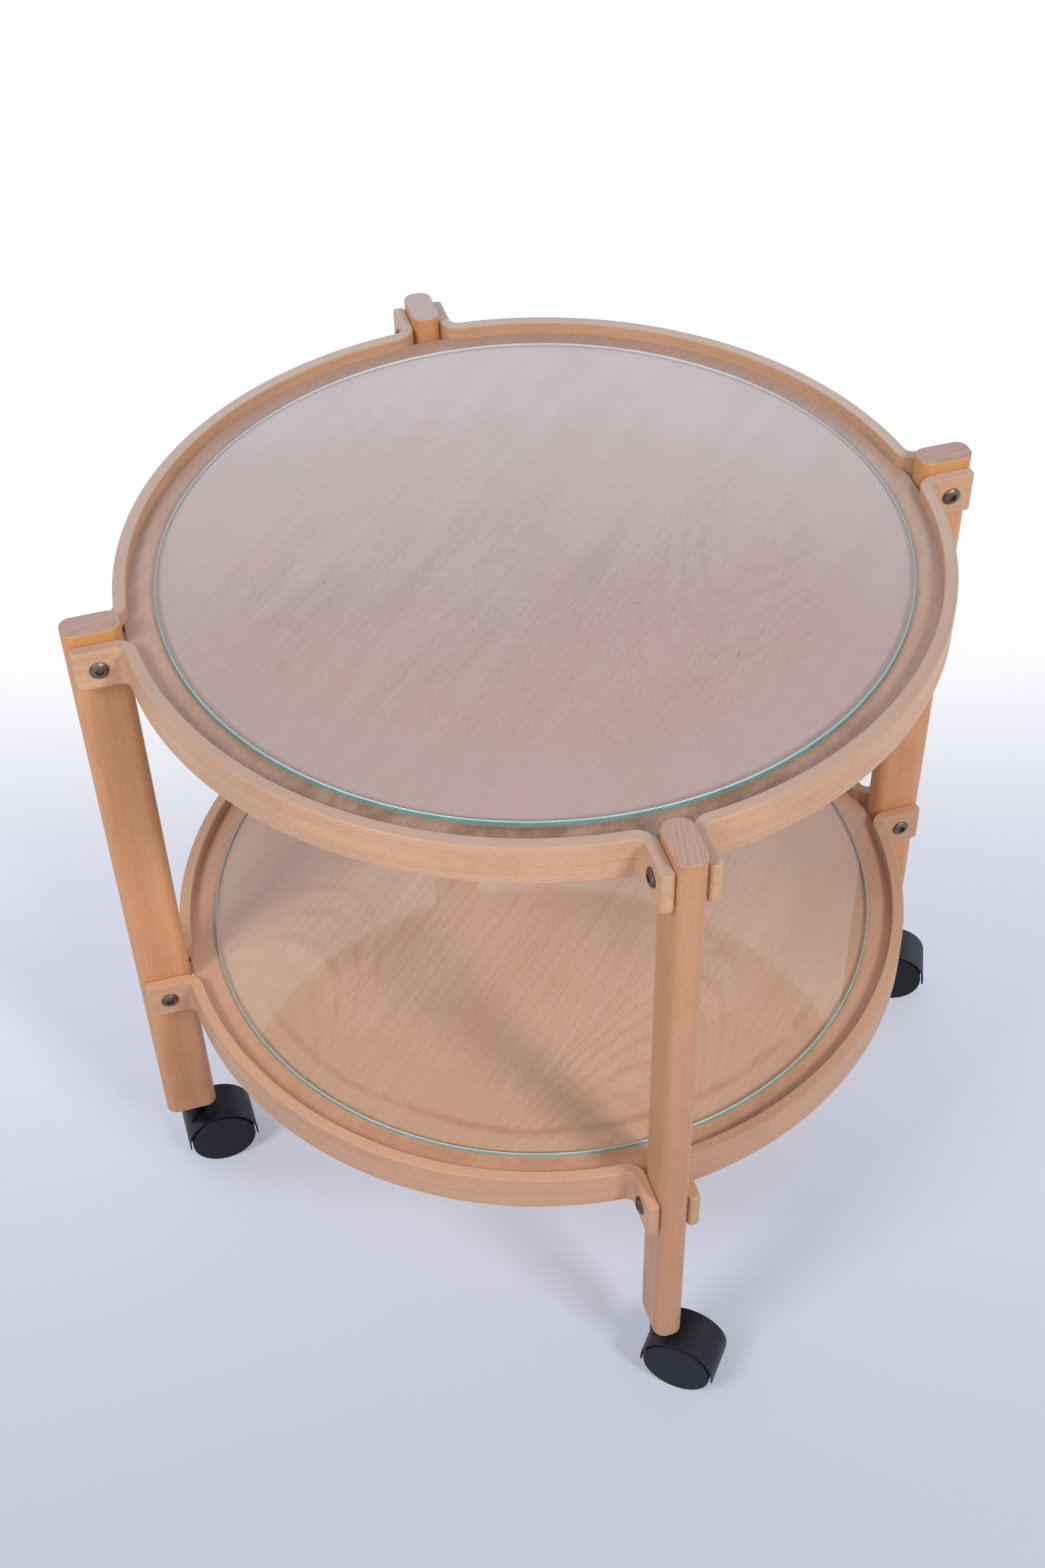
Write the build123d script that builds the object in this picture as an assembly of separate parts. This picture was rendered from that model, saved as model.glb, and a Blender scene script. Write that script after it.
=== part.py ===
from build123d import *
import os
from math import cos, radians, sin, sqrt

# Round two-tier serving trolley, millimetres. The origin is on the floor under the middle of the trays,
# +Z is up, and the four legs stand on the diagonals.

# Overall sizes
overall_height = 550.0         # floor to the tops of the legs
ring_diameter = 545.0          # outside of the bent rails
tier_spacing = 321.0           # upper rail tops to lower rail tops
leg_rise = 8.0                 # legs stand this far above the upper rails

# Bent rails: a band that turns outward at both ends into ears
rail_thickness = 8.5
rail_height = 30.0
rail_edge_radius = 1.2
ear_bend_radius = 6.0          # inside of the bend
ear_corner_radius = 3.0        # corners of the ear ends, seen from above
ear_setback = 3.0              # ears stop short of the outer face of the leg

# Legs
leg_depth = 38.0               # measured outward from the middle of the trolley
leg_width = 20.0
leg_corner_radius = 8.0
leg_end_easing = 0.8
panel_to_leg_gap = 1.8

# Tray panels, held in a groove in the rails
panel_thickness = 6.0
panel_drop = 9.6               # panel surface below the rail tops
panel_easing = 0.4
groove_depth = 4.0
groove_clearance = 0.15
panel_edge_clearance = 0.3

# Loose glass discs
glass_thickness = 4.0
glass_margin = 17.5            # from the rails to the edge of the glass
glass_arris = 0.6
glass_bedding = 0.1            # air between the glass and the lacquered panel

# Connector bolts and sleeve nuts through rail, leg and rail
bolt_diameter = 6.0
bolt_length = 28.0
sleeve_diameter = 8.0
sleeve_length = 22.0
sleeve_bore_depth = 18.0
head_diameter = 12.5
head_height = 2.4
head_rim = 0.8                 # straight edge of the head under its dome
head_crown_diameter = 7.4      # flat top of the dome
hex_across_flats = 5.0
hex_depth = 1.8
bolt_clearance = 0.2
thread_clearance = 0.05

# Casters
caster_height = 63.0           # floor to the foot of the leg
caster_trail = 18.5            # stem axis to axle
wheel_diameter = 50.0
wheel_width = 14.3
wheel_edge_radius = 1.0
wheel_rim = 3.5
wheel_face = 2.4
wheel_hub_diameter = 12.0
wheel_side_gap = 0.6
axle_diameter = 6.0
axle_end_gap = 0.2
axle_fit = 0.05
web_thickness = 5.2
web_hub_diameter = 14.0
hood_wall = 1.2
hood_gap = 1.2                 # wheel tread to the inside of the hood
wheel_proud = 0.9              # wheel faces past the edges of the hood
hood_skirt = 4.0               # straight ends of the hood below the axle
hood_easing = 0.3
neck_wall = 3.4
neck_depth = 12.0              # stem length held in the neck
neck_easing = 0.8
stem_diameter = 8.0
stem_insert = 28.0             # stem length inside the leg
stem_tip = 1.0
stem_fit = 0.05
press_fit = 0.01
collar_diameter = 12.0
collar_height = 1.3
collar_gap = 0.1
socket_wall = 1.4
socket_flange_diameter = 17.0
socket_flange = 1.5
socket_length = 30.0
socket_fit = 0.05
grip_inset = 5.0               # grip ring below the tip of the stem
grip_height = 1.2
grip_groove_depth = 0.7
grip_spring = 0.45             # grip ring proud of the stem
grip_clearance = 0.1
grip_relief = 0.25             # room round the grip ring in the socket
grip_split = 2.0

# Corners and sides of the trolley, as angles from +X, and the way that each caster trails
corner_angles = {"front_left": 225.0, "front_right": 315.0, "back_right": 45.0, "back_left": 135.0}
trail_angles = {"front_left": 45.8, "front_right": 6.0, "back_right": 20.5, "back_left": 26.0}
side_angles = {"right": 0.0, "back": 90.0, "left": 180.0, "front": 270.0}

# Worked out from the sizes above
ring_radius = ring_diameter / 2
ring_inner_radius = ring_radius - rail_thickness
groove_radius = ring_inner_radius + groove_depth
panel_radius = groove_radius - panel_edge_clearance
glass_radius = ring_inner_radius - glass_margin
leg_circle = panel_radius + panel_to_leg_gap + leg_depth / 2
ear_reach = leg_circle + leg_depth / 2 - ear_setback
ear_face = leg_width / 2 + rail_thickness
upper_top = overall_height - leg_rise
tier_tops = {"upper": upper_top, "lower": upper_top - tier_spacing}
bolt_hole = bolt_diameter + 2 * bolt_clearance
sleeve_hole = sleeve_diameter + 2 * bolt_clearance

axle_height = wheel_diameter / 2
wheel_inner = web_thickness / 2 + wheel_side_gap
wheel_outer = wheel_inner + wheel_width
hood_inner_radius = axle_height + hood_gap
hood_radius = hood_inner_radius + hood_wall
hood_half_width = wheel_outer - wheel_proud
flange_bottom = caster_height - socket_flange
neck_top = flange_bottom - collar_gap - collar_height
neck_radius = stem_diameter / 2 + neck_wall
stem_top = caster_height + stem_insert
grip_center = stem_top - grip_inset
socket_bore = stem_diameter / 2 + stem_fit
socket_radius = socket_bore + socket_wall
leg_bore = socket_radius + socket_fit


# A point given outward from the middle and sideways from the leg at an angle
def beside_leg(angle, outward, sideways):
    a = radians(angle)
    return Vector(outward * cos(a) - sideways * sin(a), outward * sin(a) + sideways * cos(a))


# Frame on a leg at a bolt, with its Z axis pointing sideways, out of the joint
def bolt_plane(angle, height, turn):
    a = radians(angle)
    seat = beside_leg(angle, leg_circle, turn * ear_face)
    outward = (-turn * sin(a), turn * cos(a), 0)
    return Plane(origin=(seat.X, seat.Y, height), x_dir=(cos(a), sin(a), 0), z_dir=outward)


# One face of the band at one end: straight ear, bend, and the point where the ring starts
def rail_end(angle, turn, ear_side, bend, ring):
    bend_side = ear_face + ear_bend_radius
    bend_out = sqrt((ring_radius + ear_bend_radius) ** 2 - bend_side**2)
    center = beside_leg(angle, bend_out, turn * bend_side)
    to_ear = beside_leg(angle, 0, -turn)
    to_ring = center.normalized() * -1
    middle = center + (to_ear + to_ring).normalized() * bend
    tip = beside_leg(angle, ear_reach, turn * ear_side)
    bend_start = beside_leg(angle, bend_out, turn * ear_side)
    bend_end = center.normalized() * ring
    return tip, bend_start, middle, bend_end


# Bent rail whose middle lies on +X, from the leg at -45 to the leg at +45 degrees, top face at height 0
def make_rail():
    half = 45.0
    out_b = rail_end(half, -1, ear_face, ear_bend_radius, ring_radius)
    out_a = rail_end(-half, 1, ear_face, ear_bend_radius, ring_radius)
    bend_inner = ear_bend_radius + rail_thickness
    in_b = rail_end(half, -1, leg_width / 2, bend_inner, ring_inner_radius)
    in_a = rail_end(-half, 1, leg_width / 2, bend_inner, ring_inner_radius)
    outline = [
        Line(out_b[0], out_b[1]),
        ThreePointArc(out_b[1], out_b[2], out_b[3]),
        ThreePointArc(out_b[3], (ring_radius, 0), out_a[3]),
        ThreePointArc(out_a[3], out_a[2], out_a[1]),
        Line(out_a[1], out_a[0]),
        Line(out_a[0], in_a[0]),
        Line(in_a[0], in_a[1]),
        ThreePointArc(in_a[1], in_a[2], in_a[3]),
        ThreePointArc(in_a[3], (ring_inner_radius, 0), in_b[3]),
        ThreePointArc(in_b[3], in_b[2], in_b[1]),
        Line(in_b[1], in_b[0]),
        Line(in_b[0], out_b[0]),
    ]
    band = extrude(make_face(Curve() + outline), amount=-rail_height)
    upright = band.edges().filter_by(Axis.Z)
    ends = [e for e in upright if e.center().X**2 + e.center().Y**2 > (ear_reach - 1) ** 2]
    band = fillet(ends, ear_corner_radius)
    rims = band.faces().sort_by(Axis.Z)[-1].edges() + band.faces().sort_by(Axis.Z)[0].edges()
    band = fillet(rims, rail_edge_radius)
    groove_height = panel_thickness + groove_clearance
    groove = Cylinder(groove_radius, groove_height, align=(Align.CENTER, Align.CENTER, Align.MAX))
    band -= Pos(0, 0, groove_clearance - panel_drop) * groove
    holes = [(half, -1, bolt_hole), (-half, 1, sleeve_hole)]
    for angle, turn, diameter in holes:
        hole = Cylinder(diameter / 2, 3 * rail_thickness)
        band -= bolt_plane(angle, -rail_height / 2, turn).location * hole
    return band


# Leg on +X: rounded section cut square with eased ends, bolt holes and a bore for the caster
def make_leg():
    section = Pos(leg_circle, 0, caster_height) * RectangleRounded(leg_depth, leg_width, leg_corner_radius)
    leg = extrude(section, amount=overall_height - caster_height)
    ends = leg.faces().filter_by(Axis.Z).edges()
    leg = fillet(ends, leg_end_easing)
    for top in tier_tops.values():
        hole = Cylinder(sleeve_hole / 2, 2 * leg_width)
        leg -= Plane(origin=(leg_circle, 0, top - rail_height / 2), z_dir=(0, 1, 0)).location * hole
    bore = Cylinder(leg_bore, socket_length, align=(Align.CENTER, Align.CENTER, Align.MIN))
    return leg - Pos(leg_circle, 0, caster_height) * bore


# Low-domed head that sits on height 0, before its hexagon socket
def make_head():
    rim = head_diameter / 2
    crown = head_crown_diameter / 2
    low = Vector(rim, head_rim)
    high = Vector(crown, head_height)
    bulge = (low + high) * 0.5 + Vector(head_height - head_rim, rim - crown).normalized() * 0.25
    profile = [
        Line((0, 0), (rim, 0)),
        Line((rim, 0), low),
        ThreePointArc(low, bulge, high),
        Line(high, (0, head_height)),
        Line((0, head_height), (0, 0)),
    ]
    return revolve(Plane.XZ * make_face(Curve() + profile), axis=Axis.Z)


# Socket for a hexagon key, cut from the top of a head
def hex_socket():
    key = RegularPolygon(hex_across_flats / 2, 6, major_radius=False)
    return Pos(0, 0, head_height) * extrude(key, amount=-hex_depth)


def make_bolt():
    shank = Cylinder(bolt_diameter / 2, bolt_length, align=(Align.CENTER, Align.CENTER, Align.MAX))
    return make_head() + shank - hex_socket()


def make_sleeve_nut():
    sleeve = Cylinder(sleeve_diameter / 2, sleeve_length, align=(Align.CENTER, Align.CENTER, Align.MAX))
    bore = Cylinder(
        bolt_diameter / 2 + thread_clearance,
        sleeve_bore_depth,
        align=(Align.CENTER, Align.CENTER, Align.MIN),
    )
    return make_head() + sleeve - hex_socket() - Pos(0, 0, -sleeve_length) * bore


def make_panel():
    panel = Cylinder(panel_radius, panel_thickness, align=(Align.CENTER, Align.CENTER, Align.MAX))
    return chamfer(panel.edges().filter_by(GeomType.CIRCLE), panel_easing)


def make_glass():
    glass = Cylinder(glass_radius, glass_thickness, align=(Align.CENTER, Align.CENTER, Align.MIN))
    return chamfer(glass.edges().filter_by(GeomType.CIRCLE), glass_arris)


# Half-round arch with straight ends below the axle, seen along the axle
def arch(radius):
    dome = Circle(radius) & Rectangle(2 * radius, radius, align=(Align.CENTER, Align.MIN))
    return dome + Rectangle(2 * radius, hood_skirt, align=(Align.CENTER, Align.MAX))


# Caster pieces stand with the stem on the Z axis and the axle behind it on +X
def make_hood():
    shell_profile = arch(hood_radius) - arch(hood_inner_radius)
    shell = extrude(Plane.XZ * shell_profile, amount=hood_half_width, both=True)
    rims = shell.faces().filter_by(Axis.Y).edges()
    shell = chamfer(rims, hood_easing)
    web_profile = arch(hood_inner_radius) + Circle(web_hub_diameter / 2)
    web = extrude(Plane.XZ * web_profile, amount=web_thickness / 2, both=True)
    wheel_room = extrude(Plane.XZ * arch(hood_inner_radius), amount=hood_half_width, both=True)
    axle_bore = Cylinder(axle_diameter / 2 + press_fit, 2 * web_thickness, rotation=(90, 0, 0))
    neck = Cylinder(neck_radius, neck_top - axle_height, align=(Align.CENTER, Align.CENTER, Align.MIN))
    neck = chamfer(neck.edges().sort_by(Axis.Z)[-1], neck_easing)
    neck = Pos(0, 0, axle_height) * neck
    at_axle = Pos(caster_trail, 0, axle_height)
    hood = at_axle * shell + (neck - at_axle * wheel_room) + at_axle * web
    stem_bore = Cylinder(
        stem_diameter / 2 + press_fit, neck_depth, align=(Align.CENTER, Align.CENTER, Align.MAX)
    )
    return hood - at_axle * axle_bore - Pos(0, 0, neck_top) * stem_bore


# Solid of revolution about Z from radius and height pairs
def turned(points):
    return revolve(Plane.XZ * make_face(Polyline(*points, close=True)), axis=Axis.Z)


def make_stem():
    r = stem_diameter / 2
    low = neck_top - neck_depth
    ring_low = grip_center - grip_height / 2 - grip_clearance
    ring_high = grip_center + grip_height / 2 + grip_clearance
    points = [
        (0, low),
        (r, low),
        (r, neck_top),
        (collar_diameter / 2, neck_top),
        (collar_diameter / 2, neck_top + collar_height),
        (r, neck_top + collar_height),
        (r, ring_low),
        (r - grip_groove_depth, ring_low),
        (r - grip_groove_depth, ring_high),
        (r, ring_high),
        (r, stem_top - stem_tip),
        (r - stem_tip, stem_top),
        (0, stem_top),
    ]
    return turned(points)


def make_grip_ring():
    r = stem_diameter / 2
    outside = Cylinder(r + grip_spring, grip_height)
    inside = Cylinder(r - grip_groove_depth + grip_clearance, grip_height)
    split = Pos(r, 0, 0) * Box(2 * r, grip_split, grip_height)
    return Pos(0, 0, grip_center) * (outside - inside - split)


def make_socket():
    relief = stem_diameter / 2 + grip_spring + grip_relief
    relief_half = grip_height / 2 + grip_relief
    points = [
        (socket_bore, flange_bottom),
        (socket_flange_diameter / 2, flange_bottom),
        (socket_flange_diameter / 2, caster_height),
        (socket_radius, caster_height),
        (socket_radius, caster_height + socket_length),
        (socket_bore, caster_height + socket_length),
        (socket_bore, grip_center + relief_half),
        (relief, grip_center + relief_half),
        (relief, grip_center - relief_half),
        (socket_bore, grip_center - relief_half),
    ]
    return turned(points)


def make_axle():
    half = wheel_outer - wheel_face - axle_end_gap
    pin = Cylinder(axle_diameter / 2, 2 * half, rotation=(90, 0, 0))
    return Pos(caster_trail, 0, axle_height) * pin


# Moulded wheel on the +Y side of the web: closed outer face, open inner side, blind bore
def make_wheel():
    r = wheel_diameter / 2
    hub = wheel_hub_diameter / 2
    bore = axle_diameter / 2 + axle_fit
    floor = wheel_outer - wheel_face
    points = [
        (0, wheel_outer),
        (r, wheel_outer),
        (r, wheel_inner),
        (r - wheel_rim, wheel_inner),
        (r - wheel_rim, floor),
        (hub, floor),
        (hub, wheel_inner),
        (bore, wheel_inner),
        (bore, floor),
        (0, floor),
    ]
    profile = make_face(Polyline(*points, close=True))
    tread = profile.vertices().sort_by(Axis.X)[-2:]
    wheel = revolve(fillet(tread, wheel_edge_radius), axis=Axis.Y)
    return Pos(caster_trail, 0, axle_height) * wheel


# Assembly
parts = {}

leg = make_leg()
for corner, angle in corner_angles.items():
    parts[f"{corner}_leg"] = Rot(0, 0, angle) * leg

rail = make_rail()
panel = make_panel()
glass = make_glass()
bolt = make_bolt()
sleeve_nut = make_sleeve_nut()
for tier, top in tier_tops.items():
    for side, angle in side_angles.items():
        parts[f"{tier}_rail_{side}"] = Pos(0, 0, top) * Rot(0, 0, angle) * rail
    parts[f"{tier}_panel"] = Pos(0, 0, top - panel_drop) * panel
    parts[f"{tier}_glass"] = Pos(0, 0, top - panel_drop + glass_bedding) * glass
    middle = top - rail_height / 2
    bolts = [bolt_plane(angle, middle, -1).location * bolt for angle in corner_angles.values()]
    nuts = [bolt_plane(angle, middle, 1).location * sleeve_nut for angle in corner_angles.values()]
    parts[f"{tier}_bolts"] = Compound(children=bolts)
    parts[f"{tier}_sleeve_nuts"] = Compound(children=nuts)

wheel = make_wheel()
caster = {
    "socket": make_socket(),
    "stem": make_stem(),
    "grip_ring": make_grip_ring(),
    "hood": make_hood(),
    "axle": make_axle(),
    "wheel_left": wheel,
    "wheel_right": mirror(wheel, about=Plane.XZ),
}
for corner, angle in corner_angles.items():
    foot = beside_leg(angle, leg_circle, 0)
    place = Pos(foot.X, foot.Y, 0) * Rot(0, 0, trail_angles[corner])
    for piece, shape in caster.items():
        parts[f"{corner}_caster_{piece}"] = place * shape

os.makedirs("parts", exist_ok=True)
for name, shape in parts.items():
    export_step(shape, f"parts/{name}.step")
print(len(parts), "parts written")
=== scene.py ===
import bpy
import bmesh
import math
from mathutils import Matrix, Vector


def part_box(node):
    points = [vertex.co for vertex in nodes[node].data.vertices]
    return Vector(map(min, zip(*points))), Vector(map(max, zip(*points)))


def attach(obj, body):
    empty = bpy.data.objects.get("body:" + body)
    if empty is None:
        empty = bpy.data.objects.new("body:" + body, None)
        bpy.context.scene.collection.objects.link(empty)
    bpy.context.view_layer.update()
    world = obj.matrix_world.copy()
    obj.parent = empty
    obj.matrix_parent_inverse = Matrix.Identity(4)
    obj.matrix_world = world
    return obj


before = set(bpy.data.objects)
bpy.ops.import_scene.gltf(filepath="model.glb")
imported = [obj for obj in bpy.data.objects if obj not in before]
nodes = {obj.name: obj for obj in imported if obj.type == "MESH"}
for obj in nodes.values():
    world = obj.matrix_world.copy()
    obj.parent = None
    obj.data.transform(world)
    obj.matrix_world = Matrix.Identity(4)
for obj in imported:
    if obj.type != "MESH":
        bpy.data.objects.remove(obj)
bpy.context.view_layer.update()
print("trolley loaded,", len(nodes), "CAD pieces")

tierNames = ["upper", "lower"]
sideNames = ["front", "right", "back", "left"]
cornerNames = ["front_left", "front_right", "back_right", "back_left"]
diagonalShare = 0.7071             # sine of 45 degrees, because the legs stand on the diagonals
fullTurn = 6.2832
bumpDepth = 0.0002


# small helpers for building node trees

def plug(tree, source, socket):
    if hasattr(source, "is_output"):
        tree.links.new(source, socket)
    else:
        socket.default_value = source


def calc(tree, operation, first, second=0.0, third=0.0):
    node = tree.nodes.new("ShaderNodeMath")
    node.operation = operation
    for value, socket in zip((first, second, third), node.inputs):
        plug(tree, value, socket)
    return node.outputs[0]


def times(tree, first, *others):
    for other in others:
        first = calc(tree, "MULTIPLY", first, other)
    return first


def mixSum(tree, *pairs):
    total = calc(tree, "MULTIPLY", *pairs[0])
    for value, share in pairs[1:]:
        total = calc(tree, "MULTIPLY_ADD", value, share, total)
    return total


def remap(tree, value, low, high, toLow=0.0, toHigh=1.0):
    node = tree.nodes.new("ShaderNodeMapRange")
    node.interpolation_type = "SMOOTHSTEP"
    for item, socket in zip((value, low, high, toLow, toHigh), node.inputs):
        plug(tree, item, socket)
    return node.outputs[0]


def blendColor(tree, amount, first, second, mode="MIX"):
    node = tree.nodes.new("ShaderNodeMix")
    node.data_type = "RGBA"
    node.blend_type = mode
    node.clamp_factor = True
    plug(tree, amount, node.inputs[0])
    plug(tree, first, node.inputs[6])
    plug(tree, second, node.inputs[7])
    return node.outputs[2]


def makeVector(tree, x, y, z):
    node = tree.nodes.new("ShaderNodeCombineXYZ")
    for value, socket in zip((x, y, z), node.inputs):
        plug(tree, value, socket)
    return node.outputs[0]


def splitVector(tree, vector):
    node = tree.nodes.new("ShaderNodeSeparateXYZ")
    plug(tree, vector, node.inputs[0])
    return node.outputs[0], node.outputs[1], node.outputs[2]


def noiseAt(tree, vector, scale=1.0, detail=3.0, rough=0.5, twist=0.0):
    node = tree.nodes.new("ShaderNodeTexNoise")
    plug(tree, vector, node.inputs["Vector"])
    for name, value in (("Scale", scale), ("Detail", detail), ("Roughness", rough), ("Distortion", twist)):
        plug(tree, value, node.inputs[name])
    return node.outputs[0]


def stretched(tree, along, across, through, lengthwise, crosswise, **noise):
    place = makeVector(tree, times(tree, along, lengthwise), times(tree, across, crosswise),
                       times(tree, through, crosswise))
    return noiseAt(tree, place, **noise)


def partPlace(tree):
    return tree.nodes.new("ShaderNodeTexCoord").outputs["Object"]


def faceTilt(tree):
    return splitVector(tree, tree.nodes.new("ShaderNodeNewGeometry").outputs["Normal"])[2]


def fromMiddle(tree, x, y):
    return calc(tree, "SQRT", calc(tree, "MULTIPLY_ADD", x, x, calc(tree, "MULTIPLY", y, y)))


frontWay = (0.483, -0.876)         # towards the side that stood at the front


def towardsFront(tree, x, y):
    return mixSum(tree, (x, frontWay[0]), (y, frontWay[1]))


def towardsBack(tree, x, y):
    return mixSum(tree, (x, -frontWay[0]), (y, -frontWay[1]))


def startGroup(name, inputs, outputs):
    group = bpy.data.node_groups.new(name, "ShaderNodeTree")
    for socketName, kind, value in inputs:
        socket = group.interface.new_socket(name=socketName, in_out="INPUT", socket_type=kind)
        if value is not None:
            socket.default_value = value
    for socketName, kind in outputs:
        group.interface.new_socket(name=socketName, in_out="OUTPUT", socket_type=kind)
    given = group.nodes.new("NodeGroupInput")
    result = group.nodes.new("NodeGroupOutput")
    return group, given.outputs, result.inputs


def useGroup(tree, group, values):
    node = tree.nodes.new("ShaderNodeGroup")
    node.node_tree = group
    for name, value in values.items():
        plug(tree, value, node.inputs[name])
    return node.outputs


def startMaterial(name):
    material = bpy.data.materials.new(name)
    material.use_nodes = True
    tree = material.node_tree
    return material, tree, tree.nodes["Principled BSDF"]


def bumpInto(tree, shader, height, strength):
    bump = tree.nodes.new("ShaderNodeBump")
    bump.inputs["Strength"].default_value = strength
    bump.inputs["Distance"].default_value = bumpDepth
    plug(tree, height, bump.inputs["Height"])
    tree.links.new(bump.outputs["Normal"], shader.inputs["Normal"])


# beech grain: place is along, across and through the board, in metres

beechGrain, given, result = startGroup(
    "beechGrain",
    [("Place", "NodeSocketVector", None), ("Fleck Share", "NodeSocketFloat", 0.3)],
    [("Fibre", "NodeSocketFloat"), ("Streak", "NodeSocketFloat"), ("Figure", "NodeSocketFloat"),
     ("Fleck", "NodeSocketFloat"), ("Height", "NodeSocketFloat")],
)
along, across, through = splitVector(beechGrain, given["Place"])
fibre = stretched(beechGrain, along, across, through, 26.0, 1000.0, detail=3.0, rough=0.6)
streak = stretched(beechGrain, along, across, through, 5.5, 300.0, detail=4.0, rough=0.62)
figure = stretched(beechGrain, along, across, through, 2.6, 34.0, detail=4.0, rough=0.55, twist=0.4)
fleckNoise = stretched(beechGrain, along, across, through, 300.0, 1500.0, detail=1.0, rough=0.4)
fleckLow = calc(beechGrain, "MULTIPLY_ADD", given["Fleck Share"], -0.3, 0.82)
fleck = remap(beechGrain, fleckNoise, fleckLow, calc(beechGrain, "ADD", fleckLow, 0.07))
plug(beechGrain, remap(beechGrain, fibre, 0.3, 0.7), result["Fibre"])
plug(beechGrain, remap(beechGrain, streak, 0.36, 0.68), result["Streak"])
plug(beechGrain, remap(beechGrain, figure, 0.3, 0.7), result["Figure"])
plug(beechGrain, fleck, result["Fleck"])
plug(beechGrain, calc(beechGrain, "MULTIPLY_ADD", fleck, -0.35, fibre), result["Height"])

# nested arches in flat-cut veneer, open away from the apex: place is the panel's own x, y and z

veneerArch, given, result = startGroup(
    "veneerArch",
    [("Place", "NodeSocketVector", None), ("Axis", "NodeSocketFloat", 0.0), ("Apex", "NodeSocketFloat", 0.0),
     ("Way", "NodeSocketFloat", 1.0), ("Round", "NodeSocketFloat", 0.03), ("Pitch", "NodeSocketFloat", 0.028),
     ("Depth", "NodeSocketFloat", 0.1), ("Reach", "NodeSocketFloat", 0.05)],
    [("Lines", "NodeSocketFloat")],
)
x, y, z = splitVector(veneerArch, given["Place"])
offAxis = calc(veneerArch, "SUBTRACT", x, given["Axis"])
bow = calc(veneerArch, "DIVIDE", times(veneerArch, offAxis, offAxis), given["Round"])
behind = times(veneerArch, calc(veneerArch, "SUBTRACT", given["Apex"], y), given["Way"])
wander = times(veneerArch, noiseAt(veneerArch, given["Place"], 26.0, 2.0), 0.014)
level = calc(veneerArch, "ADD", calc(veneerArch, "SUBTRACT", behind, bow), wander)
turns = times(veneerArch, calc(veneerArch, "DIVIDE", level, given["Pitch"]), fullTurn)
lines = remap(veneerArch, calc(veneerArch, "SINE", turns), -0.1, 1.0)
patchy = remap(veneerArch, noiseAt(veneerArch, given["Place"], 30.0, 3.0, 0.6), 0.34, 0.6, 0.3, 1.0)
begun = remap(veneerArch, level, -0.006, 0.010)
ended = remap(veneerArch, calc(veneerArch, "SUBTRACT", level, given["Depth"]), 0.0, 0.03, 1.0, 0.0)
sideFade = calc(veneerArch, "DIVIDE", calc(veneerArch, "ABSOLUTE", offAxis), given["Reach"])
near = remap(veneerArch, sideFade, 0.8, 1.8, 1.0, 0.0)
plug(veneerArch, times(veneerArch, lines, patchy, begun, ended, near), result["Lines"])

# soil and handling marks on lacquered wood

handSoil, given, result = startGroup(
    "handSoil",
    [("Place", "NodeSocketVector", None)],
    [("Soil", "NodeSocketFloat"), ("Knock", "NodeSocketFloat")],
)
cloud = noiseAt(handSoil, given["Place"], 16.0, 5.0, 0.62)
knocks = noiseAt(handSoil, given["Place"], 120.0, 2.0, 0.5)
plug(handSoil, remap(handSoil, cloud, 0.45, 0.75), result["Soil"])
plug(handSoil, remap(handSoil, knocks, 0.74, 0.80), result["Knock"])
print("grain groups ready")


# legs: grain upright, end grain on the tops and feet, deeper lacquer just under the tops

legLook = {
    "pale": (0.72, 0.366, 0.178, 1.0),
    "deep": (0.575, 0.254, 0.107, 1.0),
    "fleck": (0.30, 0.125, 0.05, 1.0),
    "soil": (0.40, 0.18, 0.085, 1.0),
    "endGrain": (0.45, 0.29, 0.235, 1.0),
    "endLine": (0.385, 0.23, 0.175, 1.0),
    # painted sheen: paler end grain at the back, for the reflected wall
    "endSheen": (0.54, 0.42, 0.39, 1.0),
    "pinker": (0.455, 0.243, 0.152, 1.0),
    "topBand": (0.62, 0.275, 0.085, 1.0),
    "topBandFrom": (0.5355, 0.541),
    "roughness": (0.36, 0.52),
    "tone": {"Fibre": 0.3, "Streak": 0.25, "Figure": 0.45},
    "topBandShare": (0.12, 0.7),
    "pinkShare": 0.5,
    "fleckShare": 0.2,
    "soilShare": 0.3,
    "knockShare": 0.25,
    "gloss": 0.35,
    "coat": 0.12,
    "coatRoughness": 0.3,
    "bump": 0.12,
}


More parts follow.
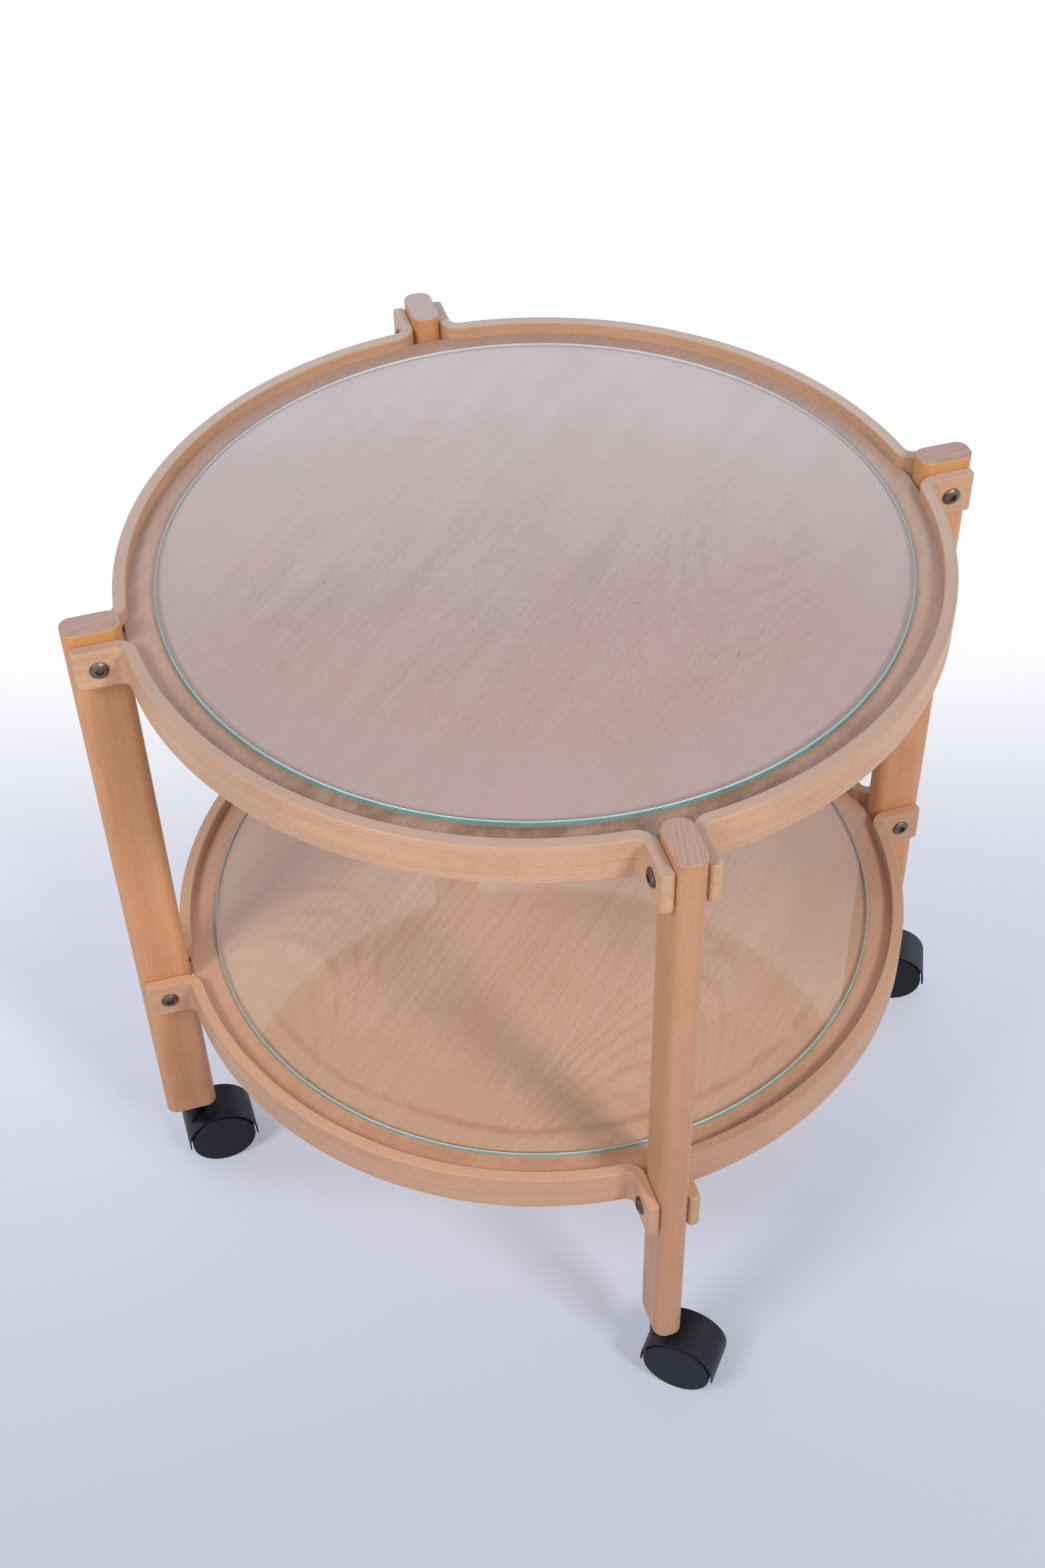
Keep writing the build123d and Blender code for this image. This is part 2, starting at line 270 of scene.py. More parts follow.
def makeLegBeech(look):
    material, tree, shader = startMaterial("legBeech")
    place = partPlace(tree)
    x, y, z = splitVector(tree, place)
    # each leg stands on a diagonal, so outward and sideways come from the signs of x and y
    diagonal = calc(tree, "SIGN", calc(tree, "MULTIPLY", x, y))
    outward = times(tree, calc(tree, "MULTIPLY_ADD", diagonal, y, x), diagonalShare)
    sideways = times(tree, calc(tree, "SUBTRACT", x, calc(tree, "MULTIPLY", diagonal, y)), diagonalShare)
    board = mixSum(tree, (calc(tree, "SIGN", x), 1.3), (calc(tree, "SIGN", y), 2.9))
    grainPlace = makeVector(tree, calc(tree, "ADD", z, board), sideways, outward)
    grain = useGroup(tree, beechGrain, {"Place": grainPlace, "Fleck Share": 0.8})
    marks = useGroup(tree, handSoil, {"Place": place})
    tone = mixSum(tree, *((grain[layer], share) for layer, share in look["tone"].items()))
    color = blendColor(tree, tone, look["pale"], look["deep"])
    # the front right leg was cut from pinker wood
    frontRight = times(tree, calc(tree, "GREATER_THAN", x, 0.0), calc(tree, "LESS_THAN", y, 0.0))
    color = blendColor(tree, times(tree, frontRight, look["pinkShare"]), color, look["pinker"])
    color = blendColor(tree, times(tree, grain["Fleck"], look["fleckShare"]), color, look["fleck"])
    color = blendColor(tree, times(tree, marks["Soil"], look["soilShare"]), color, look["soil"])
    color = blendColor(tree, times(tree, marks["Knock"], look["knockShare"]), color, look["soil"])
    # two of the legs took more lacquer at the top
    bandShare = remap(tree, diagonal, -1.0, 1.0, *look["topBandShare"])
    inBand = remap(tree, z, *look["topBandFrom"])
    color = blendColor(tree, times(tree, inBand, bandShare), color, look["topBand"])
    slant = calc(tree, "MULTIPLY_ADD", outward, 0.22, sideways)
    ringPlace = makeVector(tree, times(tree, outward, 30.0), times(tree, slant, 860.0), board)
    ringLines = remap(tree, noiseAt(tree, ringPlace, 1.0, 2.5, 0.55), 0.36, 0.66)
    endColor = blendColor(tree, ringLines, look["endGrain"], look["endLine"])
    # painted sheen: the tops of the legs at the back are painted paler, for the reflected wall
    backEndSheen = remap(tree, towardsFront(tree, x, y), -0.25, -0.1, 0.7, 0.0)
    endColor = blendColor(tree, backEndSheen, endColor, look["endSheen"])
    onEnd = remap(tree, calc(tree, "ABSOLUTE", faceTilt(tree)), 0.6, 0.9)
    color = blendColor(tree, onEnd, color, endColor)
    plug(tree, color, shader.inputs["Base Color"])
    plug(tree, remap(tree, grain["Streak"], 0.0, 1.0, *look["roughness"]), shader.inputs["Roughness"])
    shader.inputs["Specular IOR Level"].default_value = look["gloss"]
    shader.inputs["Coat Weight"].default_value = look["coat"]
    shader.inputs["Coat Roughness"].default_value = look["coatRoughness"]
    bumpInto(tree, shader, grain["Height"], look["bump"])
    return material


# bent rails: grain runs round the ring and out along the ears, plies show on the edges and ear ends

railLook = {
    "pale": (0.65, 0.398, 0.249, 1.0),
    "deep": (0.545, 0.298, 0.168, 1.0),
    "fleck": (0.33, 0.15, 0.075, 1.0),
    "soil": (0.43, 0.235, 0.14, 1.0),
    "ply": (0.40, 0.23, 0.15, 1.0),
    # painted shade: the lower tier's rails are darker and more saturated under the upper tray
    "lower": (0.575, 0.312, 0.18, 1.0),
    # painted sheen and painted light on the rail tops: upper tier front and back, lower tier
    "topSheenFront": (0.42, 0.307, 0.258, 1.0),
    "topSheenBack": (0.565, 0.455, 0.405, 1.0),
    "topLitLower": (0.70, 0.42, 0.275, 1.0),
    "plyThickness": 0.0017,
    "plyLine": (0.00004, 0.00026),
    "ringInside": 0.264,
    "ringMiddle": 0.268,
    "earFrom": (0.274, 0.284),
    "upperFrom": (0.35, 0.45),
    "earInside": 0.010,
    "earEnd": 0.3045,
    "roughness": (0.4, 0.56),
    "tone": {"Fibre": 0.25, "Streak": 0.45, "Figure": 0.3},
    "lowerShadeShare": 0.4,
    "topSheenShare": 0.7,
    "topLitLowerShare": 0.45,
    "fleckShare": 0.24,
    "soilShare": 0.3,
    "knockShare": 0.3,
    "arrisShare": 0.4,
    "gloss": 0.28,
    "coat": 0.14,
    "coatRoughness": 0.3,
    "bump": 0.12,
}


def makeRailBeech(look):
    material, tree, shader = startMaterial("railBeech")
    place = partPlace(tree)
    x, y, z = splitVector(tree, place)
    radius = fromMiddle(tree, x, y)
    around = calc(tree, "MULTIPLY_ADD", calc(tree, "ARCTAN2", y, x), look["ringMiddle"], radius)
    one = calc(tree, "ABSOLUTE", calc(tree, "SUBTRACT", x, y))
    other = calc(tree, "ABSOLUTE", calc(tree, "ADD", x, y))
    besideLeg = times(tree, calc(tree, "MINIMUM", one, other), diagonalShare)
    outward = times(tree, calc(tree, "MAXIMUM", one, other), diagonalShare)
    onEar = remap(tree, radius, *look["earFrom"])
    ringDepth = calc(tree, "SUBTRACT", radius, look["ringInside"])
    earDepth = calc(tree, "SUBTRACT", besideLeg, look["earInside"])
    depth = mixSum(tree, (ringDepth, calc(tree, "SUBTRACT", 1.0, onEar)), (earDepth, onEar))
    grain = useGroup(tree, beechGrain, {"Place": makeVector(tree, around, z, depth), "Fleck Share": 0.8})
    marks = useGroup(tree, handSoil, {"Place": place})
    tone = mixSum(tree, *((grain[layer], share) for layer, share in look["tone"].items()))
    color = blendColor(tree, tone, look["pale"], look["deep"])
    onUpper = remap(tree, z, *look["upperFrom"])
    # painted shade: the lower tier's rails take a darker, more saturated colour under the upper tray
    color = blendColor(tree, remap(tree, onUpper, 0.0, 1.0, look["lowerShadeShare"], 0.0), color, look["lower"])
    color = blendColor(tree, times(tree, grain["Fleck"], look["fleckShare"]), color, look["fleck"])
    color = blendColor(tree, times(tree, marks["Soil"], look["soilShare"]), color, look["soil"])
    color = blendColor(tree, times(tree, marks["Knock"], look["knockShare"]), color, look["fleck"])
    toJoint = calc(tree, "PINGPONG", depth, look["plyThickness"] / 2)
    plyLine = remap(tree, toJoint, *look["plyLine"], 1.0, 0.0)
    upward = calc(tree, "ABSOLUTE", faceTilt(tree))
    onTop = remap(tree, upward, 0.75, 0.95)
    # painted sheen on the rail tops: on the upper tier a greyish pink painted reflection at the front that
    # turns pale and bluish towards the back, and on the lower tier a lighter, warmer painted top; hands have
    # browned the arrises
    backSheen = remap(tree, towardsFront(tree, x, y), -0.2, 0.15, 1.0, 0.0)
    topSheenColor = blendColor(tree, backSheen, look["topSheenFront"], look["topSheenBack"])
    color = blendColor(tree, times(tree, onTop, onUpper, look["topSheenShare"]), color, topSheenColor)
    onLower = calc(tree, "SUBTRACT", 1.0, onUpper)
    color = blendColor(tree, times(tree, onTop, onLower, look["topLitLowerShare"]), color, look["topLitLower"])
    onArris = times(tree, remap(tree, upward, 0.15, 0.4), remap(tree, upward, 0.75, 0.95, 1.0, 0.0))
    color = blendColor(tree, times(tree, onArris, look["arrisShare"]), color, look["soil"])
    onEnd = remap(tree, outward, look["earEnd"] - 0.0016, look["earEnd"] - 0.0006)
    worn = remap(tree, grain["Figure"], 0.2, 0.8, 0.2, 0.6)
    plyShow = times(tree, plyLine, calc(tree, "MAXIMUM", times(tree, onTop, 0.5), onEnd), worn)
    color = blendColor(tree, plyShow, color, look["ply"])
    plug(tree, color, shader.inputs["Base Color"])
    plug(tree, remap(tree, grain["Streak"], 0.0, 1.0, *look["roughness"]), shader.inputs["Roughness"])
    shader.inputs["Specular IOR Level"].default_value = look["gloss"]
    shader.inputs["Coat Weight"].default_value = look["coat"]
    shader.inputs["Coat Roughness"].default_value = look["coatRoughness"]
    bumpInto(tree, shader, grain["Height"], look["bump"])
    return material


# tray panels: veneer with its grain along Y, aged outside the glass, with painted sheen at the back of the
# upper margin and with stains along the front that carry painted shade

glassReach = (0.2455, 0.2475)

upperPanelLook = {
    "pale": (0.447, 0.307, 0.248, 1.0),
    "deep": (0.368, 0.237, 0.186, 1.0),
    "blush": (0.44, 0.266, 0.222, 1.0),
    "blushShare": 0.6,
    "line": (0.33, 0.19, 0.135, 1.0),
    "fleck": (0.12, 0.06, 0.045, 1.0),
    "margin": (0.53, 0.308, 0.22, 1.0),
    # painted sheen: a paler, bluer margin at the back
    "marginBack": (0.50, 0.345, 0.285, 1.0),
    "stain": (0.20, 0.105, 0.05, 1.0),
    "outer": (0.41, 0.28, 0.242, 1.0),
    "outerShare": 0.5,
    "drift": (0.13, 0.42),
    "arches": [
        {"Axis": 0.128, "Apex": -0.078, "Way": -1.0, "Round": 0.03,
         "Pitch": 0.032, "Depth": 0.13, "Reach": 0.05},
        {"Axis": -0.150, "Apex": 0.050, "Way": -1.0, "Round": 0.06,
         "Pitch": 0.022, "Depth": 0.12, "Reach": 0.06},
        {"Axis": -0.105, "Apex": -0.13, "Way": 1.0, "Round": 0.04,
         "Pitch": 0.03, "Depth": 0.09, "Reach": 0.05},
    ],
    "archShare": 0.26,
    "marginStainAndShade": 0.92,
    "ringStain": 0.0,
    "dashes": [(0.1593, -0.0301, 0.0042, 0.0009, 0.6), (-0.0141, -0.0027, 0.0026, 0.0006, 0.45)],
    "scratches": 0.2,
    "scratchTint": (0.72, 0.66, 0.62, 1.0),
    "roughness": (0.3, 0.44),
    "coat": (0.1, 0.2),
    "coatRoughness": 0.25,
    "bump": 0.1,
}
lowerPanelLook = {
    "pale": (0.69, 0.462, 0.33, 1.0),
    "deep": (0.55, 0.322, 0.205, 1.0),
    "blush": (0.655, 0.40, 0.265, 1.0),
    "blushShare": 0.4,
    "line": (0.47, 0.235, 0.125, 1.0),
    "fleck": (0.18, 0.085, 0.05, 1.0),
    "margin": (0.69, 0.375, 0.247, 1.0),
    "marginBack": (0.65, 0.36, 0.25, 1.0),
    "stain": (0.40, 0.18, 0.085, 1.0),
    "outer": (0.56, 0.335, 0.215, 1.0),
    "outerShare": 0.5,
    "drift": (0.37, 0.81),
    "arches": [
        {"Axis": -0.127, "Apex": -0.070, "Way": 1.0, "Round": 0.06,
         "Pitch": 0.028, "Depth": 0.10, "Reach": 0.055},
        {"Axis": 0.150, "Apex": 0.005, "Way": 1.0, "Round": 0.024,
         "Pitch": 0.030, "Depth": 0.17, "Reach": 0.055},
    ],
    "archShare": 0.34,
    "marginStainAndShade": 0.45,
    "ringStain": 0.5,
    "dashes": [],
    "scratches": 0.0,
    "roughness": (0.3, 0.44),
    "coat": (0.1, 0.2),
    "coatRoughness": 0.25,
    "bump": 0.1,
}


# small dark nicks: place, half length, half width and strength, long along the grain
def nickMask(tree, x, y, nick):
    nickX, nickY, halfLength, halfWidth, strength = nick
    along = times(tree, calc(tree, "SUBTRACT", y, nickY), 1 / halfLength)
    across = times(tree, calc(tree, "SUBTRACT", x, nickX), 1 / halfWidth)
    return remap(tree, fromMiddle(tree, along, across), 0.5, 1.1, strength, 0.0)


# fine scratches in three directions, gathered round the middle
def scratchMask(tree, x, y, radius):
    total = None
    for turn in (0.5, 1.15, 2.3):
        c, s = math.cos(turn), math.sin(turn)
        along = mixSum(tree, (x, c), (y, s))
        across = mixSum(tree, (x, -s), (y, c))
        place = makeVector(tree, times(tree, along, 30.0), times(tree, across, 1000.0), turn)
        mask = remap(tree, noiseAt(tree, place, 1.0, 1.0, 0.4), 0.7, 0.78)
        total = mask if total is None else calc(tree, "MAXIMUM", total, mask)
    return times(tree, total, remap(tree, radius, 0.05, 0.16, 1.0, 0.15))


def makeVeneer(name, look):
    material, tree, shader = startMaterial(name)
    place = partPlace(tree)
    x, y, z = splitVector(tree, place)
    radius = fromMiddle(tree, x, y)
    front = towardsFront(tree, x, y)
    driftX, driftY = look["drift"]
    grainPlace = makeVector(tree, calc(tree, "ADD", y, driftY), calc(tree, "ADD", x, driftX), z)
    grain = useGroup(tree, beechGrain, {"Place": grainPlace, "Fleck Share": 0.6})
    marks = useGroup(tree, handSoil, {"Place": place})
    patchPlace = makeVector(tree, times(tree, x, 44.0), times(tree, y, 6.5), driftX)
    patch = remap(tree, noiseAt(tree, patchPlace, 1.0, 4.0, 0.55, 0.8), 0.3, 0.7)
    tone = mixSum(tree, (grain["Fibre"], 0.25), (grain["Streak"], 0.4), (patch, 0.35))
    color = blendColor(tree, tone, look["pale"], look["deep"])
    blushPlace = makeVector(tree, times(tree, x, 13.0), times(tree, y, 7.0), driftY)
    blush = remap(tree, noiseAt(tree, blushPlace, 1.0, 4.0, 0.6, 0.5), 0.42, 0.66)
    color = blendColor(tree, times(tree, blush, look["blushShare"]), color, look["blush"])
    for arch in look["arches"]:
        arcs = useGroup(tree, veneerArch, {"Place": place, **arch})["Lines"]
        color = blendColor(tree, times(tree, arcs, look["archShare"]), color, look["line"])
    color = blendColor(tree, times(tree, grain["Fleck"], 0.4), color, look["fleck"])
    # towards the rim, past a wandering line, the sheet takes a second colour
    rimReach = calc(tree, "MULTIPLY_ADD", noiseAt(tree, place, 9.0, 3.0, 0.5), 0.12, radius)
    outerShare = times(tree, remap(tree, rimReach, 0.238, 0.252), look["outerShare"])
    color = blendColor(tree, outerShare, color, look["outer"])
    outside = remap(tree, radius, *glassReach)
    # the margin's back takes a second colour: a paler, bluer painted sheen on the upper tray, a little darker
    # on the lower tray
    backShare = remap(tree, front, -0.15, 0.12, 1.0, 0.0)
    marginColor = blendColor(tree, backShare, look["margin"], look["marginBack"])
    marginTone = blendColor(tree, times(tree, tone, 0.5), marginColor, look["line"])
    color = blendColor(tree, times(tree, outside, 0.8), color, marginTone)
    # drinks and dust gather outside the glass along the front, and the same dark mark carries painted shade
    # from the front rail
    blotPlace = makeVector(tree, times(tree, x, 1.6), times(tree, y, 0.8), z)
    blot = remap(tree, noiseAt(tree, blotPlace, 40.0, 5.0, 0.65), 0.34, 0.64, 0.35, 1.0)
    stainAndShade = times(tree, blot, outside, remap(tree, front, 0.08, 0.25, 0.04, 1.0), look["marginStainAndShade"])
    color = blendColor(tree, stainAndShade, color, look["stain"])
    if look["ringStain"] > 0:
        wobble = noiseAt(tree, place, 14.0)
        offRing = calc(tree, "SUBTRACT", calc(tree, "MULTIPLY_ADD", wobble, 0.012, radius), 0.232)
        ring = remap(tree, calc(tree, "ABSOLUTE", offRing), 0.0003, 0.0055, 1.0, 0.0)
        broken = remap(tree, noiseAt(tree, place, 32.0, 3.0, 0.6), 0.3, 0.64, 0.3, 1.0)
        ringShare = times(tree, ring, broken, remap(tree, front, 0.06, 0.19), look["ringStain"])
        color = blendColor(tree, ringShare, color, look["stain"])
    for nick in look["dashes"]:
        color = blendColor(tree, nickMask(tree, x, y, nick), color, look["fleck"])
    if look["scratches"] > 0:
        scuffed = times(tree, scratchMask(tree, x, y, radius), look["scratches"])
        color = blendColor(tree, scuffed, color, look["scratchTint"])
    color = blendColor(tree, times(tree, marks["Soil"], 0.12), color, look["line"])
    plug(tree, color, shader.inputs["Base Color"])
    plug(tree, remap(tree, patch, 0.0, 1.0, *look["roughness"]), shader.inputs["Roughness"])
    plug(tree, remap(tree, outside, 0.0, 1.0, *look["coat"]), shader.inputs["Coat Weight"])
    shader.inputs["Coat Roughness"].default_value = look["coatRoughness"]
    bumpInto(tree, shader, grain["Height"], look["bump"])
    return material


# glass: clear to light and shadow, mirror-smooth on its faces and matt on its ground edge

glassLook = {"tint": (1.0, 1.0, 1.0, 1.0), "edgeRoughness": 0.8, "ior": 1.52}


def makeTrayGlass(look):
    material, tree, shader = startMaterial("trayGlass")
    shader.inputs["Base Color"].default_value = look["tint"]
    facing = calc(tree, "ABSOLUTE", faceTilt(tree))
    plug(tree, remap(tree, facing, 0.75, 0.98, look["edgeRoughness"], 0.0), shader.inputs["Roughness"])
    shader.inputs["IOR"].default_value = look["ior"]
    shader.inputs["Transmission Weight"].default_value = 1.0
    clear = tree.nodes.new("ShaderNodeBsdfTransparent")
    clear.inputs["Color"].default_value = look["tint"]
    path = tree.nodes.new("ShaderNodeLightPath")
    seeThrough = calc(tree, "MAXIMUM", path.outputs["Is Shadow Ray"], path.outputs["Is Diffuse Ray"])
    choose = tree.nodes.new("ShaderNodeMixShader")
    plug(tree, seeThrough, choose.inputs[0])
    tree.links.new(shader.outputs[0], choose.inputs[1])
    tree.links.new(clear.outputs[0], choose.inputs[2])
    tree.links.new(choose.outputs[0], tree.nodes["Material Output"].inputs["Surface"])
    return material


# metal and plastic

boltLook = {"color": (0.23, 0.175, 0.14, 1.0), "cloud": (0.14, 0.10, 0.08, 1.0),
            "cloudScale": 260.0, "speckScale": 1800.0, "roughness": (0.36, 0.5), "metallic": 1.0,
            "gloss": 0.5, "bump": 0.08}
hoodLook = {"color": (0.0058, 0.0068, 0.0105, 1.0), "cloud": (0.010, 0.0112, 0.0162, 1.0),
            "cloudScale": 40.0, "speckScale": 2600.0, "roughness": (0.38, 0.5), "metallic": 0.0,
            "gloss": 0.26, "bump": 0.1}
wheelLook = {"color": (0.0062, 0.0088, 0.0118, 1.0), "cloud": (0.0098, 0.013, 0.0168, 1.0),
             "cloudScale": 55.0, "speckScale": 2400.0, "roughness": (0.4, 0.52), "metallic": 0.0,
             "gloss": 0.2, "bump": 0.12}
socketLook = {"color": (0.02, 0.02, 0.022, 1.0), "cloud": (0.03, 0.03, 0.033, 1.0),
              "cloudScale": 60.0, "speckScale": 2400.0, "roughness": (0.4, 0.55), "metallic": 0.0,
              "gloss": 0.3, "bump": 0.12}
steelLook = {"color": (0.52, 0.52, 0.53, 1.0), "cloud": (0.42, 0.42, 0.43, 1.0),
             "cloudScale": 180.0, "speckScale": 1600.0, "roughness": (0.24, 0.4), "metallic": 1.0,
             "gloss": 0.5, "bump": 0.08}


def makeFinish(name, look):
    material, tree, shader = startMaterial(name)
    place = partPlace(tree)
    cloud = noiseAt(tree, place, look["cloudScale"], 4.0, 0.6)
    speck = noiseAt(tree, place, look["speckScale"], 2.0, 0.5)
    color = blendColor(tree, remap(tree, cloud, 0.3, 0.7), look["color"], look["cloud"])
    plug(tree, color, shader.inputs["Base Color"])
    plug(tree, remap(tree, cloud, 0.3, 0.7, *look["roughness"]), shader.inputs["Roughness"])
    shader.inputs["Metallic"].default_value = look["metallic"]
    shader.inputs["Specular IOR Level"].default_value = look["gloss"]
    bumpInto(tree, shader, speck, look["bump"])
    return material


legBeech = makeLegBeech(legLook)
railBeech = makeRailBeech(railLook)
upperVeneer = makeVeneer("upperVeneer", upperPanelLook)
lowerVeneer = makeVeneer("lowerVeneer", lowerPanelLook)
trayGlass = makeTrayGlass(glassLook)
bronzedSteel = makeFinish("bronzedSteel", boltLook)
hoodPlastic = makeFinish("hoodPlastic", hoodLook)
wheelPlastic = makeFinish("wheelPlastic", wheelLook)
socketPlastic = makeFinish("socketPlastic", socketLook)
brightSteel = makeFinish("brightSteel", steelLook)


def dress(names, material):
    for name in names:
        mesh = nodes[name].data
        mesh.materials.clear()
        mesh.materials.append(material)


dress([f"{corner}_leg" for corner in cornerNames], legBeech)
dress([f"{tier}_rail_{side}" for tier in tierNames for side in sideNames], railBeech)
dress(["upper_panel"], upperVeneer)
dress(["lower_panel"], lowerVeneer)
dress(["upper_glass", "lower_glass"], trayGlass)
dress([f"{tier}_{piece}" for tier in tierNames for piece in ("bolts", "sleeve_nuts")], bronzedSteel)
dress([f"{corner}_caster_hood" for corner in cornerNames], hoodPlastic)
dress([f"{corner}_caster_wheel_{hand}" for corner in cornerNames for hand in ("left", "right")], wheelPlastic)
dress([f"{corner}_caster_socket" for corner in cornerNames], socketPlastic)
steelPieces = ("stem", "grip_ring", "axle")
dress([f"{corner}_caster_{piece}" for corner in cornerNames for piece in steelPieces], brightSteel)
print("materials on")


# ground edge of the glass: a skin just inside its rim, green from outside, pale through the top, with a
# painted highlight along its arris

glassEdge = {"radius": 0.2465, "arris": 0.0006, "inset": 0.00016, "steps": 360, "roughness": (0.3, 0.45)}
edgeTints = {
    "upper": {"green": (0.15, 0.385, 0.375, 1.0), "deep": (0.105, 0.30, 0.29, 1.0),
              "arrisHighlight": (0.31, 0.48, 0.48, 1.0), "inside": (0.44, 0.47, 0.51, 1.0)},
    "lower": {"green": (0.29, 0.50, 0.48, 1.0), "deep": (0.23, 0.42, 0.40, 1.0),
              "arrisHighlight": (0.34, 0.54, 0.52, 1.0), "inside": (0.44, 0.46, 0.47, 1.0)},
}


def makeGlassEdge(tier, look, tints):
    material, tree, shader = startMaterial(f"{tier}GlassEdge")
    place = partPlace(tree)
    ripple = noiseAt(tree, place, 60.0, 3.0, 0.6)
    color = blendColor(tree, remap(tree, ripple, 0.35, 0.65), tints["green"], tints["deep"])
    # painted highlight: a paler line along the arris
    onArris = remap(tree, faceTilt(tree), 0.3, 0.6)
    color = blendColor(tree, onArris, color, tints["arrisHighlight"])
    geometry = tree.nodes.new("ShaderNodeNewGeometry")
    color = blendColor(tree, geometry.outputs["Backfacing"], color, tints["inside"])
    plug(tree, color, shader.inputs["Base Color"])
    plug(tree, remap(tree, ripple, 0.3, 0.7, *look["roughness"]), shader.inputs["Roughness"])
    return material


def buildGlassEdge(tier, look, material):
    low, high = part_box(f"{tier}_glass")
    r = look["radius"] - look["inset"]
    bottom = low.z + look["inset"]
    top = high.z - look["inset"]
    arris = look["arris"]
    profile = [(r - arris, bottom), (r, bottom + arris), (r, top - arris), (r - arris, top)]
    mesh = bpy.data.meshes.new(f"{tier}GlassEdge")
    shape = bmesh.new()
    rings = []
    for step in range(look["steps"]):
        angle = 2 * math.pi * step / look["steps"]
        rings.append([shape.verts.new((p * math.cos(angle), p * math.sin(angle), h)) for p, h in profile])
    for step in range(look["steps"]):
        here = rings[step]
        there = rings[(step + 1) % look["steps"]]
        for k in range(len(profile) - 1):
            shape.faces.new((here[k], there[k], there[k + 1], here[k + 1]))
    shape.to_mesh(mesh)
    shape.free()
    mesh.materials.append(material)
    piece = bpy.data.objects.new(f"{tier}_glass_edge", mesh)
    bpy.context.scene.collection.objects.link(piece)
    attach(piece, f"{tier}_glass")


for tier in tierNames:
    buildGlassEdge(tier, glassEdge, makeGlassEdge(tier, glassEdge, edgeTints[tier]))
print("glass edges on")


# floor, light and camera

# painted fall of light across the floor, darker at the front
floorLook = {"near": (0.56, 0.58, 0.685, 1.0), "middle": (0.86, 0.885, 1.0, 1.0), "far": (1.0, 1.0, 1.0, 1.0),
             "nearFade": (-0.5, 0.35), "farFade": (0.12, 0.62), "rimFade": (0.8, 1.8), "ownLight": 0.38,
             "roughness": 0.8, "gloss": 0.2, "size": 9.0}


def seenRays(tree):
    path = tree.nodes.new("ShaderNodeLightPath")
    mirrored = calc(tree, "MAXIMUM", path.outputs["Is Glossy Ray"], path.outputs["Is Transmission Ray"])
    return calc(tree, "MAXIMUM", path.outputs["Is Camera Ray"], mirrored)


def makeFloor(look):
    material, tree, shader = startMaterial("paleFloor")
    place = partPlace(tree)
    x, y, z = splitVector(tree, place)
    back = towardsBack(tree, x, y)
    scuff = noiseAt(tree, place, 3.0, 4.0, 0.6)
    # painted fall of light: the floor is bluish grey at the front and brightens to white at the back and
    # towards the rim
    color = blendColor(tree, remap(tree, back, *look["nearFade"]), look["near"], look["middle"])
    rimShare = remap(tree, fromMiddle(tree, x, y), *look["rimFade"])
    farShare = calc(tree, "MAXIMUM", remap(tree, back, *look["farFade"]), rimShare)
    color = blendColor(tree, remap(tree, scuff, 0.3, 0.7, 0.0, 0.03), color, look["near"])
    color = blendColor(tree, farShare, color, look["far"])
    plug(tree, color, shader.inputs["Base Color"])
    shader.inputs["Roughness"].default_value = look["roughness"]
    shader.inputs["Specular IOR Level"].default_value = look["gloss"]
    glow = tree.nodes.new("ShaderNodeEmission")
    plug(tree, color, glow.inputs["Color"])
    glow.inputs["Strength"].default_value = 1.0
    choose = tree.nodes.new("ShaderNodeMixShader")
    glowShare = remap(tree, farShare, 0.0, 1.0, look["ownLight"], 1.0)
    plug(tree, times(tree, seenRays(tree), glowShare), choose.inputs[0])
    tree.links.new(shader.outputs[0], choose.inputs[1])
    tree.links.new(glow.outputs[0], choose.inputs[2])
    tree.links.new(choose.outputs[0], tree.nodes["Material Output"].inputs["Surface"])
    half = look["size"] / 2
    mesh = bpy.data.meshes.new("floor")
    floorCorners = [(-half, -half, 0), (half, -half, 0), (half, half, 0), (-half, half, 0)]
    mesh.from_pydata(floorCorners, [], [(0, 1, 2, 3)])
    mesh.materials.append(material)
    floor = bpy.data.objects.new("floor", mesh)
    bpy.context.scene.collection.objects.link(floor)


lights = {
    "leftSoftbox": {"place": (-0.49, -1.83, 2.13), "aim": (0.0, 0.0, 0.35), "size": 0.65, "power": 28.2,
                    "color": (1.0, 0.985, 0.97)},
    "rightSoftbox": {"place": (1.80, -0.79, 1.88), "aim": (0.0, 0.0, 0.3), "size": 0.46, "power": 27.7,
                     "color": (1.0, 0.985, 0.97)},
}


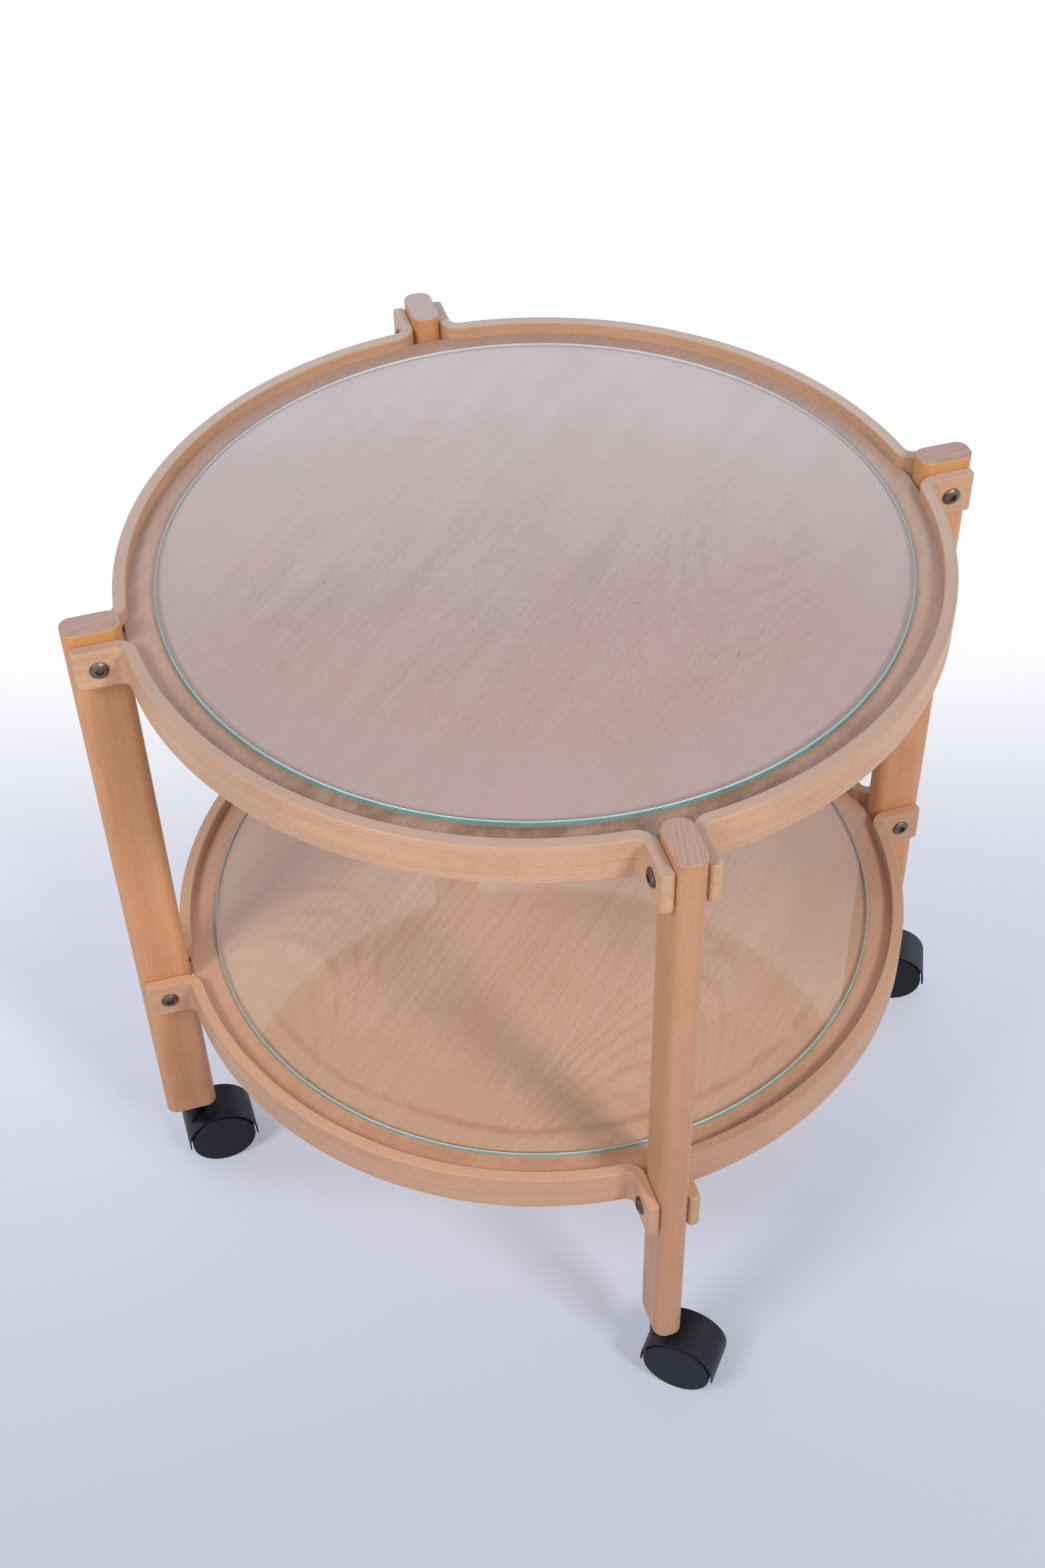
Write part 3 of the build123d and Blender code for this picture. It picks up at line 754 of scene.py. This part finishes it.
def makeLight(name, look):
    data = bpy.data.lights.new(name, "AREA")
    data.shape = "SQUARE"
    data.size = look["size"]
    data.energy = look["power"]
    data.color = look["color"]
    lamp = bpy.data.objects.new(name, data)
    lamp.location = look["place"]
    aim = Vector(look["aim"]) - Vector(look["place"])
    lamp.rotation_euler = aim.to_track_quat("-Z", "Y").to_euler()
    bpy.context.scene.collection.objects.link(lamp)


# pale studio all round, with a lit wall behind that fades towards the ceiling
worldLook = {"color": (0.93, 0.985, 1.06, 1.0), "wall": (0.86, 1.0, 1.18, 1.0), "light": 0.39, "seen": 0.78,
             "wallSide": (0.1, 0.5), "wallTop": (0.52, 0.68), "wallGain": 1.2}


def makeWorld(look):
    world = bpy.data.worlds.new("studio")
    world.use_nodes = True
    tree = world.node_tree
    sky = tree.nodes["Background"]
    x, y, z = splitVector(tree, tree.nodes.new("ShaderNodeTexCoord").outputs["Generated"])
    back = towardsBack(tree, x, y)
    wall = times(tree, remap(tree, back, *look["wallSide"]), remap(tree, z, *look["wallTop"], 1.0, 0.0))
    plug(tree, blendColor(tree, wall, look["color"], look["wall"]), sky.inputs["Color"])
    level = remap(tree, seenRays(tree), 0.0, 1.0, look["light"], look["seen"])
    gain = remap(tree, wall, 0.0, 1.0, 1.0, 1.0 + look["wallGain"])
    plug(tree, times(tree, level, gain), sky.inputs["Strength"])
    bpy.context.scene.world = world


cameraLook = {"place": (0.5201, -0.9429, 1.3860), "aim": (-0.0101, -0.0057, 0.3239), "roll": 0.0273,
              "lens": 48.04, "sensor": 36.0}


def makeCamera(look):
    data = bpy.data.cameras.new("photoView")
    data.sensor_width = look["sensor"]
    data.lens = look["lens"]
    camera = bpy.data.objects.new("photoView", data)
    place = Vector(look["place"])
    ahead = (Vector(look["aim"]) - place).normalized()
    right = ahead.cross(Vector((0, 0, 1))).normalized()
    down = ahead.cross(right).normalized()
    c, s = math.cos(look["roll"]), math.sin(look["roll"])
    imageRight = right * c + down * s
    imageUp = right * s - down * c
    turn = Matrix((imageRight, imageUp, -ahead)).transposed()
    camera.matrix_world = Matrix.Translation(place) @ turn.to_4x4()
    bpy.context.scene.collection.objects.link(camera)
    bpy.context.scene.camera = camera


makeFloor(floorLook)
for name, look in lights.items():
    makeLight(name, look)
makeWorld(worldLook)
makeCamera(cameraLook)
bpy.context.scene.view_settings.view_transform = "Standard"
print("floor, light and camera set")
